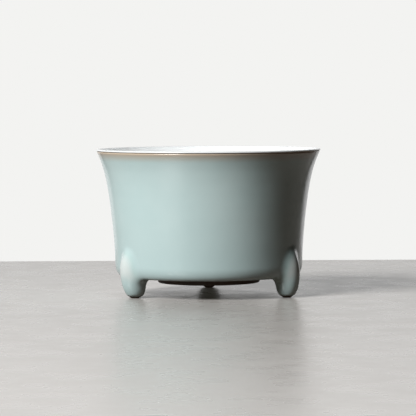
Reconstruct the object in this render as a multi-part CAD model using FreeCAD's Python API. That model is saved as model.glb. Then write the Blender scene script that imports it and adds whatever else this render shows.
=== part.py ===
"""Brush holder pot: a flared celadon pot on three egg-shaped legs.

Millimetres, +Z up, -Y is the front. The origin is on the pot's axis, on the
surface that the pot stands on. Each piece of clay and each coat of glaze is a
solid of its own, and the pieces meet face to face where they were luted.
"""
import FreeCAD, Part
import math
import os

Vector = FreeCAD.Vector
UP = Vector(0, 0, 1)
ORIGIN = Vector(0, 0, 0)

# The pot as it is seen, over the glaze.
height = 97.5
rim_radius = 75.0
base_radius = 62.6
flare = 5.1
flare_length = 13.0
lean_power = 1.5
underside_z = 12.8
edge_height = 8.5
edge_reach = 4.5

# Clay and glaze.
glaze = 0.5
wall = 4.0
lip = 1.4
thinning_length = 18.0
floor_thickness = 5.0
inner_corner_radius = 6.0
slab_radius = 50.0

# The lip: the white inner coat comes over it, then a fine line of bare clay shows.
lip_round = 0.5
white_drop = 1.1
bare_line = 0.7

# The foot ring, which stops above the table.
ring_radius = 34.0
ring_width = 6.0
ring_bottom_z = 8.1
ring_round = 0.8

# The legs: egg-shaped, sunk into the wall above, blunter below, and cut off flat where they stand.
leg_circle_radius = 59.8
leg_pivot_z = 20.0
leg_radius = 7.6
leg_belly_z = 14.5
leg_below = 14.85
leg_above = 14.6
leg_bluntness = 2.4
leg_bare_tip = 1.2
leg_outline_start = -85.0
# Each leg's direction, counted from the front towards +X, and its outward lean, in degrees.
legs = {
    "leg_front_left": (-58.2, 10.5),
    "leg_front_right": (60.6, 3.0),
    "leg_back": (180.0, 4.0),
}

# Worked out from the above.
edge_top_z = underside_z + edge_height
wall_lean = rim_radius - base_radius - flare
clay_under_z = underside_z + glaze
clay_floor_z = clay_under_z + floor_thickness
clay_top_z = height - glaze
shoulder_z = clay_top_z - lip_round
white_edge_z = height - white_drop
coat_top_z = white_edge_z - bare_line
inner_corner_z = clay_floor_z + inner_corner_radius

# How finely curved outlines are drawn, and how far a cutting form overruns what it cuts.
WALL_SPANS = 14
LIP_SPANS = 2
LEG_SPANS = 24
OVER = 5.0
# Turns about the Z axis are counted from +X, so the front, -Y, is here.
FRONT = -90.0

os.makedirs("parts", exist_ok=True)


def wall_radius(z):
    """Outside radius of the glazed wall: a slow lean outwards and a short flare at the lip."""
    rise = max(0.0, (z - edge_top_z) / (shoulder_z - edge_top_z))
    return base_radius + wall_lean * rise ** lean_power + flare * math.exp((z - shoulder_z) / flare_length)


def clay_radius(z):
    """Outside radius of the clay wall."""
    return wall_radius(z) - glaze


def bore_radius(z):
    """Inside radius of the clay wall, which thins towards the lip."""
    thinning = math.exp((z - shoulder_z) / thinning_length)
    return clay_radius(z) - wall + (wall - lip) * thinning


def line(start, end):
    return Part.makeLine(Vector(start[0], 0, start[1]), Vector(end[0], 0, end[1]))


def arc(start, middle, end):
    points = [Vector(r, 0, z) for r, z in (start, middle, end)]
    return Part.Arc(*points).toShape()


def curve(radius_at, z_from, z_to, spans=WALL_SPANS):
    """A smooth edge through the points (radius_at(z), z) between two heights."""
    steps = [z_from + (z_to - z_from) * i / spans for i in range(spans + 1)]
    spline = Part.BSplineCurve()
    spline.interpolate([Vector(radius_at(z), 0, z) for z in steps])
    return spline.toShape()


def quarter(centre_r, centre_z, radius, start_deg, end_deg):
    """An arc about (centre_r, centre_z) between two angles counted from +r towards +z."""
    points = []
    for angle in (start_deg, (start_deg + end_deg) / 2, end_deg):
        turn = math.radians(angle)
        points.append((centre_r + radius * math.cos(turn), centre_z + radius * math.sin(turn)))
    return arc(*points)


def edge_arc(inset):
    """The bottom edge's quarter ellipse, drawn in from the glazed surface by inset."""
    centre_r = wall_radius(edge_top_z) - edge_reach
    lowest = Vector(centre_r, 0, edge_top_z - edge_height + inset)
    outermost = Vector(centre_r + edge_reach - inset, 0, edge_top_z)
    return Part.Ellipse(lowest, outermost, Vector(centre_r, 0, edge_top_z)).toShape(0, math.pi / 2)


def revolve(edges):
    """The solid that a closed outline in the r-z plane sweeps about the Z axis."""
    wire = Part.Wire(Part.__sortEdges__(edges))
    return Part.Face(wire).revolve(ORIGIN, UP, 360)


def filled(radius_at, inset, top_z):
    """The pot's outside shape as one full solid, drawn in from the glazed surface by inset."""
    bottom_z = underside_z + inset
    return revolve([
        line((0, bottom_z), (wall_radius(edge_top_z) - edge_reach, bottom_z)),
        edge_arc(inset),
        curve(radius_at, edge_top_z, top_z),
        line((radius_at(top_z), top_z), (0, top_z)),
        line((0, top_z), (0, bottom_z)),
    ])


def bore_corner_r():
    return bore_radius(inner_corner_z) - inner_corner_radius


def make_body_wall():
    """The thrown wall, with the rounded bottom edge and a short floor flange turned inwards."""
    outer_lip = clay_radius(shoulder_z)
    inner_lip = bore_radius(shoulder_z)
    return revolve([
        line((slab_radius, clay_floor_z), (slab_radius, clay_under_z)),
        line((slab_radius, clay_under_z), (wall_radius(edge_top_z) - edge_reach, clay_under_z)),
        edge_arc(glaze),
        curve(clay_radius, edge_top_z, shoulder_z),
        arc((outer_lip, shoulder_z), ((outer_lip + inner_lip) / 2, clay_top_z), (inner_lip, shoulder_z)),
        curve(bore_radius, shoulder_z, inner_corner_z),
        quarter(bore_corner_r(), inner_corner_z, inner_corner_radius, 0, -90),
        line((bore_corner_r(), clay_floor_z), (slab_radius, clay_floor_z)),
    ])


def make_base_slab():
    """The disc luted into the wall's flange, which is the pot's floor."""
    return Part.makeCylinder(slab_radius, floor_thickness, Vector(0, 0, clay_under_z))


def make_foot_ring():
    """The low turned ring under the floor, unglazed, with its standing edge rounded."""
    inner_r = ring_radius - ring_width
    round_z = ring_bottom_z + ring_round
    return revolve([
        line((inner_r, clay_under_z), (inner_r, round_z)),
        quarter(inner_r + ring_round, round_z, ring_round, 180, 270),
        line((inner_r + ring_round, ring_bottom_z), (ring_radius - ring_round, ring_bottom_z)),
        quarter(ring_radius - ring_round, round_z, ring_round, -90, 0),
        line((ring_radius, round_z), (ring_radius, clay_under_z)),
        line((ring_radius, clay_under_z), (inner_r, clay_under_z)),
    ])


def leg_form(azimuth, lean, coat, bottom_z):
    """A whole egg-shaped leg, grown by the coat's thickness and cut off flat at bottom_z."""
    points = []
    for i in range(LEG_SPANS + 1):
        turn = math.radians(leg_outline_start + (90 - leg_outline_start) * i / LEG_SPANS)
        # Above the belly the outline is a quarter ellipse, and below it a blunter, squarer one.
        power = 1.0 if turn > 0 else 2.0 / leg_bluntness
        half = leg_above + coat if turn > 0 else -leg_below - coat
        across = (leg_radius + coat) * abs(math.cos(turn)) ** power
        along = half * abs(math.sin(turn)) ** power
        points.append(Vector(across, 0, leg_belly_z + along))
    outline = Part.BSplineCurve()
    outline.interpolate(points)
    low_z = points[0].z
    top_z = points[-1].z
    leg = revolve([line((0, low_z), (points[0].x, low_z)), outline.toShape(), line((0, top_z), (0, low_z))])
    # The turned surface's seam runs down the leg's side, clear of the tip of the saddle.
    leg.rotate(ORIGIN, UP, 90)
    leg.rotate(Vector(0, 0, leg_pivot_z), Vector(0, 1, 0), lean)
    # A leaning leg is let down a little, so that every leg stands equally deep.
    lowered = leg_pivot_z * (1 - math.cos(math.radians(lean)))
    leg.translate(Vector(leg_circle_radius, 0, -lowered))
    side = 2 * leg_circle_radius
    leg = leg.cut(Part.makeBox(side, side, side, Vector(0, -side / 2, bottom_z - side)))
    leg.rotate(ORIGIN, UP, FRONT + azimuth)
    return leg


def make_leg(azimuth, lean, clay_body):
    """A clay leg, with the saddle where it was luted onto the pot's wall and underside."""
    return leg_form(azimuth, lean, 0.0, 0.0).cut(clay_body)


def make_glaze_outer(clay_body):
    """The celadon coat over wall, underside and legs, bare at the foot ring and the leg tips."""
    coated_legs = [leg_form(azimuth, lean, glaze, leg_bare_tip) for azimuth, lean in legs.values()]
    clay_legs = [leg_form(azimuth, lean, 0.0, 0.0) for azimuth, lean in legs.values()]
    under_ring = Part.makeCylinder(ring_radius, OVER, Vector(0, 0, clay_under_z - OVER))
    coated = filled(wall_radius, 0.0, coat_top_z).fuse(coated_legs)
    clay = clay_body.fuse(clay_legs)
    return coated.cut(clay).cut(under_ring)


def make_glaze_inner():
    """The white coat over the floor, the inside and the lip, down to the fine bare line."""
    def coated_bore(z):
        return bore_radius(z) - glaze

    outer_lip = clay_radius(shoulder_z)
    inner_lip = bore_radius(shoulder_z)
    middle_lip = (outer_lip + inner_lip) / 2
    floor_z = clay_floor_z + glaze
    return revolve([
        line((0, clay_floor_z), (bore_corner_r(), clay_floor_z)),
        quarter(bore_corner_r(), inner_corner_z, inner_corner_radius, -90, 0),
        curve(bore_radius, inner_corner_z, shoulder_z),
        arc((inner_lip, shoulder_z), (middle_lip, clay_top_z), (outer_lip, shoulder_z)),
        curve(clay_radius, shoulder_z, white_edge_z, LIP_SPANS),
        line((clay_radius(white_edge_z), white_edge_z), (wall_radius(white_edge_z), white_edge_z)),
        curve(wall_radius, white_edge_z, shoulder_z, LIP_SPANS),
        arc((rim_radius, shoulder_z), (middle_lip, height), (coated_bore(shoulder_z), shoulder_z)),
        curve(coated_bore, shoulder_z, inner_corner_z),
        quarter(bore_corner_r(), inner_corner_z, inner_corner_radius - glaze, 0, -90),
        line((bore_corner_r(), floor_z), (0, floor_z)),
        line((0, floor_z), (0, clay_floor_z)),
    ])


def make_glaze_underside():
    """The pool of celadon glaze in the recess inside the foot ring."""
    return Part.makeCylinder(ring_radius - ring_width, glaze, Vector(0, 0, underside_z))


clay_body = filled(clay_radius, glaze, coat_top_z + OVER)
pieces = {
    "body_wall": make_body_wall(),
    "base_slab": make_base_slab(),
    "foot_ring": make_foot_ring(),
    "glaze_outer": make_glaze_outer(clay_body),
    "glaze_inner": make_glaze_inner(),
    "glaze_underside": make_glaze_underside(),
}
for name, (azimuth, lean) in legs.items():
    pieces[name] = make_leg(azimuth, lean, clay_body)

for name, shape in pieces.items():
    shape.exportStep("parts/" + name + ".step")
    print(name, "valid", shape.isValid(), "solids", len(shape.Solids), "cm3", round(shape.Volume / 1000, 3))
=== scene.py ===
import math

import bpy
import numpy as np
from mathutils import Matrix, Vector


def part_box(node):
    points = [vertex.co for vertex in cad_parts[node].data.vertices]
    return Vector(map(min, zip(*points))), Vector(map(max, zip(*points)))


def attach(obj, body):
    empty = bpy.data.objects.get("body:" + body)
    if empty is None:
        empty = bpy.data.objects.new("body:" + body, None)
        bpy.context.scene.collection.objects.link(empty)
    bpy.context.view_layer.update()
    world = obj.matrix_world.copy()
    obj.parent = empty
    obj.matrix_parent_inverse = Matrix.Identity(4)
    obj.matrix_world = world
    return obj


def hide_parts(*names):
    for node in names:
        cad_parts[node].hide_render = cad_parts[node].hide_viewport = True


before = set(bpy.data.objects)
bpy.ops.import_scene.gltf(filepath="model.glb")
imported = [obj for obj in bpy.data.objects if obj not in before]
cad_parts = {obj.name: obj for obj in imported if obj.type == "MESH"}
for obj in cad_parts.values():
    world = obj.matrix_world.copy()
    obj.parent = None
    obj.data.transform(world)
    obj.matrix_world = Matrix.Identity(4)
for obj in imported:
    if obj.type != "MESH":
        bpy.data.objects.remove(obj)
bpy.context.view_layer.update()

# ---------------------------------------------------------------- sizes, in metres

MM = 0.001

# Read from the frame.
underside_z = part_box("glaze_underside")[0].z
floor_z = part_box("glaze_inner")[0].z
clay_under_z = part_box("base_slab")[0].z
glaze = clay_under_z - underside_z
rim_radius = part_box("glaze_inner")[1].x
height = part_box("glaze_inner")[1].z
coat_top_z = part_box("glaze_outer")[1].z
leg_bare_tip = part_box("glaze_outer")[0].z
ring_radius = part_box("foot_ring")[1].x

# The pot's outline, as the CAD model has it.
base_radius = 62.6 * MM
edge_height = 8.5 * MM
edge_reach = 4.5 * MM
flare = 5.1 * MM
flare_length = 13.0 * MM
lean_power = 1.5
wall = 4.0 * MM
lip = 1.4 * MM
thinning_length = 18.0 * MM
inner_corner_radius = 6.0 * MM
lip_round = 0.5 * MM
white_drop = 1.1 * MM
edge_top_z = underside_z + edge_height
edge_centre_r = base_radius - edge_reach
shoulder_z = height - glaze - lip_round
white_edge_z = height - white_drop
wall_lean = rim_radius - base_radius - flare
inner_corner_z = floor_z + inner_corner_radius

# The legs: direction from the front towards +X, and outward lean, in degrees.
LEGS = {"leg_front_left": (-58.2, 10.5), "leg_front_right": (60.6, 3.0), "leg_back": (180.0, 4.0)}
leg_circle_radius = 59.8 * MM
leg_pivot_z = 20.0 * MM
leg_radius = 7.6 * MM + glaze
leg_belly_z = 14.5 * MM
leg_below = 14.85 * MM + glaze
leg_above = 14.6 * MM + glaze
leg_bluntness = 2.4
crease_radius = 6.0 * MM
pool_width = 4.0 * MM

# Around each leg, the part of the pot's surface that is pushed out onto the leg.
LEG_ZONE_RADIUS = 26 * MM
LEG_ZONE_TOP = 46 * MM

# How often each search halves its range, and the slack left when two heights are compared.
PUSH_HALVINGS = 34
TIP_HALVINGS = 30
TINY = 1e-7

# The camera, with its tilt down and its roll in degrees, and the far end of the floor.
CAMERA_PLACE = (0, -1.755, 0.142)
CAMERA_TILT = 2.75
CAMERA_ROLL = 0.25
CAMERA_LENS = 227.1
FLOOR_END = 0.33

# ---------------------------------------------------------------- small helpers


def smooth_step(value, low, high):
    """0 below low, 1 above high, and a smooth rise between them."""
    t = np.clip((value - low) / (high - low), 0.0, 1.0)
    return t * t * (3 - 2 * t)


def spaced(*stretches):
    """Stations along a line: each stretch is (start, end, largest gap between two stations)."""
    stations = [stretches[0][0]]
    for start, end, gap in stretches:
        count = max(1, math.ceil(abs(end - start) / gap))
        stations += [start + (end - start) * (i + 1) / count for i in range(count)]
    return np.array(stations)


def mesh_object(name, vertices, faces):
    """A smooth-shaded mesh object, linked into the scene."""
    mesh = bpy.data.meshes.new(name)
    mesh.from_pydata(vertices.tolist(), [], faces)
    mesh.validate()
    mesh.shade_smooth()
    piece = bpy.data.objects.new(name, mesh)
    bpy.context.scene.collection.objects.link(piece)
    return piece


def point_values(piece, name, values):
    """Stores one number per vertex, which a material can read with an Attribute node."""
    attribute = piece.data.attributes.new(name, "FLOAT", "POINT")
    attribute.data.foreach_set("value", np.asarray(values, np.float32))


def grid_faces(rows, columns):
    """Quads of a grid of rows by columns that closes round on itself."""
    faces = []
    for row in range(rows - 1):
        for column in range(columns):
            a = row * columns + column
            b = row * columns + (column + 1) % columns
            faces.append((a, b, b + columns, a + columns))
    return faces


# ---------------------------------------------------------------- the pot's form


def wall_radius(z):
    """Outside radius of the glazed wall: a slow lean outwards and a short flare at the lip."""
    rise = np.clip((z - edge_top_z) / (shoulder_z - edge_top_z), 0.0, None)
    return base_radius + wall_lean * rise ** lean_power + flare * np.exp((z - shoulder_z) / flare_length)


def bore_radius(z):
    """Inside radius of the clay wall, which thins towards the lip."""
    thinning = np.exp((z - shoulder_z) / thinning_length)
    return wall_radius(z) - glaze - wall + (wall - lip) * thinning


def ellipse_distance(across, along, half_across, half_along, power=2.0):
    """Distance outside an ellipse, near enough close to its outline; a power above 2 makes it squarer."""
    u, v = np.abs(across / half_across), np.abs(along / half_along)
    share = np.maximum((u ** power + v ** power) ** (1 / power), 1e-6)
    slope = np.hypot(u ** (power - 1) / half_across, v ** (power - 1) / half_along) / share ** (power - 1)
    return (share - 1) / slope


def body_distance(p):
    """Distance outside the glazed pot's surface, without its legs, for each point."""
    r = np.hypot(p[:, 0], p[:, 1])
    z = p[:, 2]
    slope = (wall_radius(z + MM) - wall_radius(z - MM)) / (2 * MM)
    beside_wall = (r - wall_radius(z)) / np.sqrt(1 + slope ** 2)
    round_edge = ellipse_distance(r - edge_centre_r, z - edge_top_z, edge_reach, edge_height)
    below = underside_z - z
    low = np.where(r > edge_centre_r, round_edge, below)
    return np.where(z > edge_top_z, beside_wall, low)


def leg_place(azimuth, lean):
    """The low end of a leg's axis, and the axis's direction."""
    turn = math.radians(azimuth - 90)
    out = np.array([math.cos(turn), math.sin(turn), 0.0])
    tilt = math.radians(lean)
    axis = out * math.sin(tilt) + np.array([0.0, 0.0, math.cos(tilt)])
    return out * (leg_circle_radius - leg_pivot_z * math.sin(tilt)), axis


def leg_distance(p, azimuth, lean):
    """Distance outside one glazed leg: an egg standing on a flat pad."""
    foot, axis = leg_place(azimuth, lean)
    from_foot = p - foot
    h = from_foot @ axis
    q = np.linalg.norm(from_foot - h[:, None] * axis, axis=1)
    above = h > leg_belly_z
    upper = ellipse_distance(q, h - leg_belly_z, leg_radius, leg_above)
    lower = ellipse_distance(q, h - leg_belly_z, leg_radius, leg_below, leg_bluntness)
    return np.maximum(np.where(above, upper, lower), -p[:, 2])


def blended(a, b, reach):
    """The union of two forms with the crease between them filled smoothly."""
    near = np.clip(reach - np.abs(a - b), 0.0, None) / reach
    return np.minimum(a, b) - near ** 2 * reach / 4


def pot_distance(p, azimuth, lean):
    """Distance outside the glazed pot with one of its legs."""
    return blended(body_distance(p), leg_distance(p, azimuth, lean), crease_radius)


def pot_normal(p, azimuth, lean):
    """The direction straight out of the surface at each point."""
    step = 0.02 * MM
    normal = np.empty_like(p)
    for axis in range(3):
        shift = np.zeros(3)
        shift[axis] = step
        normal[:, axis] = pot_distance(p + shift, azimuth, lean) - pot_distance(p - shift, azimuth, lean)
    return normal / np.linalg.norm(normal, axis=1)[:, None]


def push_out(p, azimuth, lean):
    """Moves points of the bare pot outwards, from a point inside it, onto the pot with its leg."""
    foot, axis = leg_place(azimuth, lean)
    inwards = -np.array([foot[0], foot[1], 0.0]) / np.hypot(foot[0], foot[1])
    up_axis, from_axis = 25, 2
    heart = foot + axis * up_axis * MM + inwards * from_axis * MM
    ray = p - heart
    # The surface lies between these shares of the way from the heart to the bare pot.
    least, most = 0.9, 3.0
    low = np.full(len(p), least)
    high = np.full(len(p), most)
    for _ in range(PUSH_HALVINGS):
        middle = (low + high) / 2
        outside = pot_distance(heart + ray * middle[:, None], azimuth, lean) > 0
        high = np.where(outside, middle, high)
        low = np.where(outside, low, middle)
    return heart + ray * high[:, None]


# ---------------------------------------------------------------- the celadon coat


def outline_rows():
    """The coat's outline as radii and heights: from the foot ring out, round the edge, up to the lip."""
    legs_from_r = 48 * MM
    legs_end_z = 36 * MM
    lip_from_z = coat_top_z - 3 * MM
    under = spaced((ring_radius, legs_from_r, 2.0 * MM), (legs_from_r, edge_centre_r, 0.5 * MM))
    bend = spaced((0.0, math.pi / 2, 0.5 * MM / edge_height))[1:]
    rise = spaced(
        (edge_top_z, legs_end_z, 0.7 * MM),
        (legs_end_z, lip_from_z, 1.8 * MM),
        (lip_from_z, coat_top_z, 0.25 * MM),
    )[1:]
    r = np.concatenate([under, edge_centre_r + edge_reach * np.sin(bend), wall_radius(rise)])
    z = np.concatenate([np.full(len(under), underside_z), edge_top_z - edge_height * np.cos(bend), rise])
    return r, z


def column_angles():
    """Directions round the pot, closer together near each leg."""
    half = math.radians(12)
    fine = math.radians(0.4)
    coarse = math.radians(1.4)
    centres = sorted(math.radians(azimuth - 90) % (2 * math.pi) for azimuth, lean in LEGS.values())
    stretches = []
    for centre, following in zip(centres, centres[1:] + [centres[0] + 2 * math.pi]):
        stretches.append((centre - half, centre + half, fine))
        stretches.append((centre + half, following - half, coarse))
    return spaced(*stretches)[:-1]


def hand_wobble(p):
    """How far the thrown wall strays from a true round, in metres; nothing near legs and lip."""
    angle = np.arctan2(p[:, 1], p[:, 0])
    z = p[:, 2]
    oval = 0.10 * np.sin(2 * angle + 0.7) + 0.05 * np.sin(3 * angle - 1.1)
    rings = 0.012 * np.sin(2 * math.pi * z / (8.5 * MM) + 0.9 * np.sin(angle))
    swell = 0.05 * np.sin(2 * math.pi * z / (55 * MM) + 1.3 + 0.6 * np.sin(2 * angle))
    ends = smooth_step(z, 36 * MM, 50 * MM) * (1 - smooth_step(z, coat_top_z - 12 * MM, coat_top_z))
    return (oval + rings + swell) * ends * MM


def make_glaze_outer():
    """The closed coat over wall, underside and legs, with values for where it pools and thins."""
    r, z = outline_rows()
    angles = column_angles()
    rows, columns = len(r), len(angles)
    x = r[:, None] * np.cos(angles)
    y = r[:, None] * np.sin(angles)
    bare = np.stack([x, y, np.repeat(z[:, None], columns, 1)], 2).reshape(-1, 3)
    outer = bare.copy()
    normal = np.empty_like(bare)
    crease = np.zeros(len(bare))
    nose = np.zeros(len(bare))
    directions = np.radians([azimuth - 90 for azimuth, lean in LEGS.values()])
    angle = np.tile(angles, rows)
    apart = np.abs((angle[:, None] - directions + math.pi) % (2 * math.pi) - math.pi)
    nearest = apart.argmin(1)
    for index, (azimuth, lean) in enumerate(LEGS.values()):
        mine = nearest == index
        foot, axis = leg_place(azimuth, lean)
        beside = np.hypot(*(bare - foot)[:, :2].T) < LEG_ZONE_RADIUS
        close = mine & beside & (bare[:, 2] < LEG_ZONE_TOP)
        outer[close] = push_out(bare[close], azimuth, lean)
        body = body_distance(outer[mine])
        leg = leg_distance(outer[mine], azimuth, lean)
        crease[mine] = np.clip(1 - np.abs(body - leg) / pool_width, 0, 1) ** 2
        # The nose is the part of a leg that stands clear of the pot, above its low end.
        nose[mine] = smooth_step(body, 0.8 * MM, 4.0 * MM) * smooth_step(outer[mine, 2], 9 * MM, 18 * MM)
        normal[mine] = pot_normal(outer[mine], azimuth, lean)
    kept = trim_tips(outer, rows, columns)
    outer += normal * hand_wobble(outer)[:, None]
    inner = outer - normal * glaze
    above_line = outer[:, 2] > leg_bare_tip + TINY
    inner[:, 2] = np.where(above_line, np.maximum(inner[:, 2], leg_bare_tip), leg_bare_tip)
    outer -= normal * (glaze * rounded_edge(outer))[:, None]
    return close_coat("celadon_coat", outer, inner, kept, {"pool": crease, "thin": nose})


def trim_tips(outer, rows, columns):
    """Drops the cells below the glaze line of each leg, and draws the edge ones up to that line."""
    above = outer[:, 2] >= leg_bare_tip
    faces = [f for f in grid_faces(rows, columns) if above[list(f)].any()]
    used = np.unique(np.array(faces))
    low = used[~above[used]]
    for azimuth, lean in LEGS.values():
        foot, axis = leg_place(azimuth, lean)
        at_line = foot + axis * (leg_bare_tip - foot[2]) / axis[2]
        mine = low[np.hypot(*(outer[low] - foot)[:, :2].T) < 2 * leg_radius]
        away = outer[mine] - at_line
        away[:, 2] = 0
        away /= np.linalg.norm(away, axis=1)[:, None]
        near = np.zeros(len(mine))
        far = np.full(len(mine), 2 * leg_radius)
        for _ in range(TIP_HALVINGS):
            middle = (near + far) / 2
            outside = leg_distance(at_line + away * middle[:, None], azimuth, lean) > 0
            far = np.where(outside, middle, far)
            near = np.where(outside, near, middle)
        outer[mine] = at_line + away * far[:, None]
    return faces


def rounded_edge(p):
    """Share of the coat's thickness that rounding takes: none inside, most of it at the edge."""
    reach = 0.6 * MM
    most = 0.92
    r = np.hypot(p[:, 0], p[:, 1])
    flat_part = p[:, 2] < underside_z + 0.1 * MM
    to_ring = np.where(flat_part & (p[:, 2] > leg_bare_tip + 3 * MM), r - ring_radius, 1.0)
    edge = np.minimum(np.minimum(coat_top_z - p[:, 2], to_ring), np.abs(p[:, 2] - leg_bare_tip))
    near = np.clip(1 - edge / reach, 0, 1)
    return most * (1 - np.sqrt(1 - near ** 2))


def close_coat(name, outer, inner, faces, values):
    """Joins the outer and inner faces of a coat along every free edge, into one closed mesh."""
    used = np.unique(np.array(faces))
    number = np.full(len(outer), -1)
    number[used] = np.arange(len(used))
    count = len(used)
    top = [tuple(int(number[v]) for v in f) for f in faces]
    bottom = [tuple(v + count for v in reversed(f)) for f in top]
    sides = {}
    for f in top:
        for a, b in zip(f, f[1:] + f[:1]):
            sides[(a, b)] = True
    walls = [(b, a, a + count, b + count) for a, b in sides if (b, a) not in sides]
    vertices = np.concatenate([outer[used], inner[used]])
    piece = mesh_object(name, vertices, top + bottom + walls)
    for label, numbers in values.items():
        point_values(piece, label, np.tile(numbers[used], 2))
    return piece


# ---------------------------------------------------------------- the white coat


def lip_section():
    """The lip's outline over the glaze, from the white edge outside to the bore: radius, height."""
    outer_r = float(wall_radius(shoulder_z))
    inner_r = float(bore_radius(shoulder_z)) - glaze
    middle_r = (outer_r + inner_r) / 2
    half = (outer_r - inner_r) / 2
    top = height - shoulder_z
    turn = np.linspace(0, math.pi, 26)
    return middle_r + half * np.cos(turn), shoulder_z + top * np.sin(turn)


def make_glaze_inner():
    """The closed coat: up the outside of the lip, over it, down the bore, over the floor, and back."""
    corner_r = float(bore_radius(inner_corner_z)) - inner_corner_radius
    floor_top = floor_z + glaze
    edge = np.linspace(0, 1, 9)[:-1]
    bulge = np.sqrt(1 - (1 - edge) ** 2)
    edge_z = white_edge_z + (shoulder_z - white_edge_z) * edge
    edge_r = wall_radius(edge_z) - glaze + glaze * (0.1 + 0.9 * bulge)
    lip_r, lip_z = lip_section()
    lip_end_z = shoulder_z - 6 * MM
    down_z = spaced((shoulder_z, lip_end_z, 0.6 * MM), (lip_end_z, inner_corner_z, 2 * MM))[1:]
    down_r = bore_radius(down_z) - glaze
    bend = np.linspace(0, math.pi / 2, 18)[1:]
    bend_r = corner_r + (inner_corner_radius - glaze) * np.cos(bend)
    bend_z = inner_corner_z - (inner_corner_radius - glaze) * np.sin(bend)
    hub_r = 2 * MM
    flat_r = spaced((corner_r, hub_r, 2.5 * MM))[1:]
    seen_r = np.concatenate([edge_r, lip_r, down_r, bend_r, flat_r])
    seen_z = np.concatenate([edge_z, lip_z, down_z, bend_z, np.full(len(flat_r), floor_top)])

    back_bend = bend[::-2]
    back_z = down_z[::-2]
    clay_lip = np.linspace(math.pi, 0, 12)
    clay_outer = float(wall_radius(shoulder_z)) - glaze
    clay_inner = float(bore_radius(shoulder_z))
    clay_r = (clay_outer + clay_inner) / 2 + (clay_outer - clay_inner) / 2 * np.cos(clay_lip)
    clay_z = shoulder_z + (height - glaze - shoulder_z) * np.sin(clay_lip)
    hidden_r = np.concatenate([
        flat_r[::-2],
        corner_r + inner_corner_radius * np.cos(back_bend),
        bore_radius(back_z),
        clay_r,
        [float(wall_radius(white_edge_z)) - glaze],
    ])
    hidden_z = np.concatenate([
        np.full(len(flat_r[::-2]), floor_z),
        inner_corner_z - inner_corner_radius * np.sin(back_bend),
        back_z,
        clay_z,
        [white_edge_z],
    ])
    columns = 432
    angles = np.arange(columns) * 2 * math.pi / columns
    r = np.concatenate([seen_r, hidden_r])
    z = np.concatenate([seen_z, hidden_z])
    rows = len(r)
    x = r[:, None] * np.cos(angles)
    y = r[:, None] * np.sin(angles)
    vertices = np.stack([x, y, np.repeat(z[:, None], columns, 1)], 2).reshape(-1, 3)
    faces = grid_faces(rows, columns)
    split = len(seen_r)
    gap = {(split - 1) * columns + column for column in range(columns)}
    faces = [f for f in faces if f[0] not in gap]
    for column in range(columns):
        following = (column + 1) % columns
        last = (rows - 1) * columns
        faces.append((last + column, last + following, following, column))
    top_centre = len(vertices)
    vertices = np.concatenate([vertices, [[0, 0, floor_top], [0, 0, floor_z]]])
    for column in range(columns):
        following = (column + 1) % columns
        a, b = (split - 1) * columns + column, (split - 1) * columns + following
        c, d = split * columns + column, split * columns + following
        faces.append((a, b, top_centre))
        faces.append((d, c, top_centre + 1))
    return mesh_object("white_coat", vertices, faces)


# ---------------------------------------------------------------- materials


class Nodes:
    """A material's node tree, with short calls to add and join its nodes."""

    def __init__(self, name):
        self.material = bpy.data.materials.new(name)
        self.material.use_nodes = True
        self.tree = self.material.node_tree
        self.shader = self.tree.nodes["Principled BSDF"]

    def add(self, kind, **settings):
        node = self.tree.nodes.new(kind)
        for key, value in settings.items():
            setattr(node, key, value)
        return node

    def join(self, output, node, socket):
        self.tree.links.new(output, node.inputs[socket])

    def object_point(self):
        return self.add("ShaderNodeTexCoord").outputs["Object"]

    def noise(self, scale, detail=2.0, roughness=0.5):
        """Smooth noise through the object, with that many waves to the metre, near enough."""
        node = self.add("ShaderNodeTexNoise")
        node.inputs["Scale"].default_value = scale
        node.inputs["Detail"].default_value = detail
        node.inputs["Roughness"].default_value = roughness
        self.join(self.object_point(), node, "Vector")
        return node.outputs["Fac"]

    def spread(self, value, low, high, to_low, to_high):
        """Takes low..high to to_low..to_high along a smooth rise."""
        node = self.add("ShaderNodeMapRange")
        node.interpolation_type = "SMOOTHSTEP"
        limits = {"From Min": low, "From Max": high, "To Min": to_low, "To Max": to_high}
        for key, number in limits.items():
            node.inputs[key].default_value = number
        self.join(value, node, "Value")
        return node.outputs["Result"]

    def mix(self, share, first, second):
        """A colour between first, at share 0, and second, at share 1."""
        node = self.add("ShaderNodeMix", data_type="RGBA")
        self.join(share, node, 0)
        for socket, colour in ((6, first), (7, second)):
            if isinstance(colour, tuple):
                node.inputs[socket].default_value = (*colour, 1)
            else:
                self.join(colour, node, socket)
        return node.outputs[2]

    def math(self, operation, first, second):
        node = self.add("ShaderNodeMath", operation=operation)
        for socket, value in enumerate((first, second)):
            if isinstance(value, (int, float)):
                node.inputs[socket].default_value = value
            else:
                self.join(value, node, socket)
        return node.outputs[0]

    def height(self):
        """Height above the floor, in metres."""
        split = self.add("ShaderNodeSeparateXYZ")
        self.join(self.object_point(), split, 0)
        return split.outputs["Z"]

    def bump(self, heights):
        """heights is a list of (value, depth in metres); each adds to the surface's relief."""
        normal = None
        for value, depth in heights:
            node = self.add("ShaderNodeBump")
            node.inputs["Strength"].default_value = 1.0
            node.inputs["Distance"].default_value = depth
            self.join(value, node, "Height")
            if normal is not None:
                self.join(normal, node, "Normal")
            normal = node.outputs["Normal"]
        self.join(normal, self.shader, "Normal")


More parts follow.
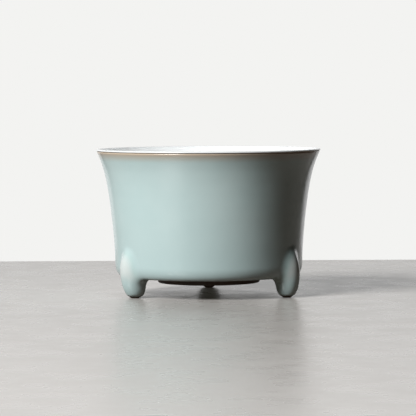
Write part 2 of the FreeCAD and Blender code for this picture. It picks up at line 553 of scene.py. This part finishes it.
def celadon_material():
    """Pale blue-green glaze: thin and warm at its top edge, deeper where it pools, and darker low down as
    painted shade.
    """
    n = Nodes("celadon_glaze")
    cloud = n.noise(22.0, 3.0)
    tone = n.mix(n.spread(cloud, 0.3, 0.7, 0, 1), (0.488, 0.630, 0.622), (0.526, 0.660, 0.650))
    # Painted shade: the glaze colour darkens towards the bottom of the wall, standing in for the dimmer
    # light there.
    painted_low_shade = n.spread(n.height(), 60 * MM, 16 * MM, 0, 1)
    tone = n.mix(painted_low_shade, tone, (0.455, 0.585, 0.580))
    pool = n.add("ShaderNodeAttribute", attribute_name="pool").outputs["Fac"]
    tone = n.mix(n.math("MULTIPLY", pool, 0.45), tone, (0.41, 0.56, 0.53))
    thin = n.add("ShaderNodeAttribute", attribute_name="thin").outputs["Fac"]
    tone = n.mix(n.math("MULTIPLY", thin, 0.8), tone, (0.63, 0.67, 0.65))
    uneven = n.math("MULTIPLY", n.noise(55.0, 2.0), 0.8 * MM)
    level = n.math("ADD", n.height(), uneven)
    thinning = n.spread(level, coat_top_z - 6.0 * MM, coat_top_z - 1.0 * MM, 0, 1)
    tone = n.mix(thinning, tone, (0.50, 0.50, 0.44))
    top_edge = n.spread(level, coat_top_z - 2.0 * MM, coat_top_z + 0.4 * MM, 0, 1)
    tone = n.mix(top_edge, tone, (0.56, 0.46, 0.35))
    n.join(tone, n.shader, "Base Color")
    n.join(n.spread(n.noise(160.0), 0.3, 0.7, 0.15, 0.21), n.shader, "Roughness")
    n.shader.inputs["IOR"].default_value = 1.52
    n.bump([(n.noise(70.0, 1.0), 0.10 * MM), (n.noise(420.0, 2.0), 0.012 * MM)])
    return n.material


def white_material():
    """White glaze of the inside and the lip, with faint clouds a touch cooler than the rest."""
    n = Nodes("white_glaze")
    cloud = n.spread(n.noise(30.0, 3.0), 0.3, 0.7, 0, 1)
    n.join(n.mix(cloud, (0.745, 0.77, 0.775), (0.785, 0.80, 0.80)), n.shader, "Base Color")
    n.join(n.spread(n.noise(160.0), 0.3, 0.7, 0.13, 0.18), n.shader, "Roughness")
    n.shader.inputs["IOR"].default_value = 1.52
    n.bump([(n.noise(80.0, 1.0), 0.05 * MM), (n.noise(420.0, 2.0), 0.006 * MM)])
    return n.material


def clay_material():
    """Iron-rich clay, burnt dark brown where it is left bare."""
    n = Nodes("iron_clay")
    grain = n.noise(900.0, 4.0, 0.7)
    patch = n.noise(60.0, 3.0)
    dark = n.mix(n.spread(patch, 0.3, 0.7, 0, 1), (0.050, 0.033, 0.022), (0.085, 0.055, 0.036))
    n.join(n.mix(n.spread(grain, 0.62, 0.75, 0, 0.6), dark, (0.22, 0.15, 0.10)), n.shader, "Base Color")
    n.join(n.spread(grain, 0.2, 0.8, 0.60, 0.85), n.shader, "Roughness")
    n.bump([(grain, 0.08 * MM)])
    return n.material


def lip_clay_material():
    """The bare clay line under the lip, burnt tan where both coats run thin."""
    n = Nodes("lip_clay")
    n.join(n.mix(n.noise(300.0, 3.0), (0.44, 0.37, 0.29), (0.57, 0.49, 0.40)), n.shader, "Base Color")
    n.join(n.spread(n.noise(500.0), 0.3, 0.7, 0.45, 0.6), n.shader, "Roughness")
    n.bump([(n.noise(900.0, 3.0), 0.04 * MM)])
    return n.material


def floor_material():
    """Plain pale satin table top."""
    n = Nodes("studio_floor")
    n.join(n.mix(n.noise(3.0), (0.46, 0.44, 0.415), (0.49, 0.47, 0.445)), n.shader, "Base Color")
    n.join(n.spread(n.noise(40.0), 0.3, 0.7, 0.26, 0.32), n.shader, "Roughness")
    return n.material


def give(piece, material):
    """Makes this the piece's only material."""
    piece.data.materials.clear()
    piece.data.materials.append(material)


# ---------------------------------------------------------------- stage


def make_floor():
    """A plain table top; its far edge is a little way behind the pot."""
    left, right, front = -0.8, 0.8, -1.0
    corners = [[left, front, 0], [right, front, 0], [right, FLOOR_END, 0], [left, FLOOR_END, 0]]
    floor = mesh_object("floor", np.array(corners), [(0, 1, 2, 3)])
    give(floor, floor_material())
    # The floor is seen, in reflections too, and shadows fall on it, but it adds no diffuse light
    # and holds none back. The light from below is the "table_glow" lamp's, which is dim and warm,
    # as a dark table's would be.
    floor.visible_diffuse = False
    floor.visible_shadow = False


def make_camera():
    """A long lens from a little above the rim, looking slightly down."""
    camera = bpy.data.cameras.new("camera")
    camera.sensor_width = 36
    camera.lens = CAMERA_LENS
    camera.clip_start = 0.05
    camera.clip_end = 30
    holder = bpy.data.objects.new("camera", camera)
    bpy.context.scene.collection.objects.link(holder)
    holder.location = CAMERA_PLACE
    holder.rotation_euler = (math.radians(90 - CAMERA_TILT), math.radians(CAMERA_ROLL), 0)
    bpy.context.scene.camera = holder


def area_light(name, place, target, size_x, size_y, power, colour=(1, 1, 1)):
    """A rectangular lamp that faces the target, in metres and watts, and isn't seen itself."""
    light = bpy.data.lights.new(name, "AREA")
    light.shape = "RECTANGLE"
    light.size = size_x
    light.size_y = size_y
    light.energy = power
    light.color = colour
    holder = bpy.data.objects.new(name, light)
    bpy.context.scene.collection.objects.link(holder)
    holder.location = place
    track = np.array(target, float) - np.array(place, float)
    holder.rotation_euler = (
        math.atan2(math.hypot(track[0], track[1]), -track[2]),
        0,
        math.atan2(track[1], track[0]) - math.pi / 2,
    )
    holder.visible_camera = False


def around(azimuth, elevation, away):
    """A place that far from the pot, in a direction counted from the front towards +X, in degrees."""
    turn, rise = math.radians(azimuth - 90), math.radians(elevation)
    level = away * math.cos(rise)
    return level * math.cos(turn), level * math.sin(turn), away * math.sin(rise)


def make_lights():
    """A window on the left, pale walls beside and behind, and two dim lamps that fill shadows."""
    centre = (0, 0, 0.05)
    area_light("window", around(-44, 35, 2.3), centre, 0.85, 0.85, 73)
    area_light("side_wall", around(-105, 14, 1.8), centre, 1.6, 1.2, 1.8)
    area_light("back_wall", (0, 1.5, 0.55), (0, 0, 0.1), 2.26, 1.7, 7.0)
    area_light("wide_back_wall", (-0.5, 1.55, 0.55), (-0.5, 0, 0.1), 4.0, 1.7, 6.0)
    area_light("table_glow", (0, 0, -0.02), (0, 0, 0.1), 0.9, 0.9, 0.19, (1.0, 0.75, 0.59))
    # A small lamp in the pot's mouth, which lifts the shaded side of the white inside.
    lamp = bpy.data.lights.new("inside", "POINT")
    lamp.energy = 0.06
    lamp.shadow_soft_size = 0.01
    holder = bpy.data.objects.new("inside", lamp)
    bpy.context.scene.collection.objects.link(holder)
    holder.location = (-0.02, -0.01, 0.09)
    holder.visible_camera = False
    holder.visible_glossy = False


def make_world():
    """A dark room, before a pale backdrop that only the camera sees."""
    world = bpy.data.worlds.new("studio")
    bpy.context.scene.world = world
    world.use_nodes = True
    tree = world.node_tree
    backdrop = tree.nodes["Background"]
    backdrop.inputs["Color"].default_value = (0.896, 0.896, 0.880, 1)
    room = tree.nodes.new("ShaderNodeBackground")
    room.inputs["Color"].default_value = (0.010, 0.0097, 0.0090, 1)
    path = tree.nodes.new("ShaderNodeLightPath")
    mixer = tree.nodes.new("ShaderNodeMixShader")
    tree.links.new(path.outputs["Is Camera Ray"], mixer.inputs[0])
    tree.links.new(room.outputs[0], mixer.inputs[1])
    tree.links.new(backdrop.outputs[0], mixer.inputs[2])
    tree.links.new(mixer.outputs[0], tree.nodes["World Output"].inputs[0])
    view = bpy.context.scene.view_settings
    view.view_transform = "Standard"
    view.look = "None"


# ---------------------------------------------------------------- the scene

make_camera()
make_world()
make_lights()
make_floor()

celadon = celadon_material()
white = white_material()
clay = clay_material()

for cad_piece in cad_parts.values():
    give(cad_piece, clay)
give(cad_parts["glaze_underside"], celadon)
give(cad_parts["body_wall"], lip_clay_material())

coat = make_glaze_outer()
give(coat, celadon)
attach(coat, "root")
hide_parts("glaze_outer")

inside = make_glaze_inner()
give(inside, white)
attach(inside, "root")
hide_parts("glaze_inner")
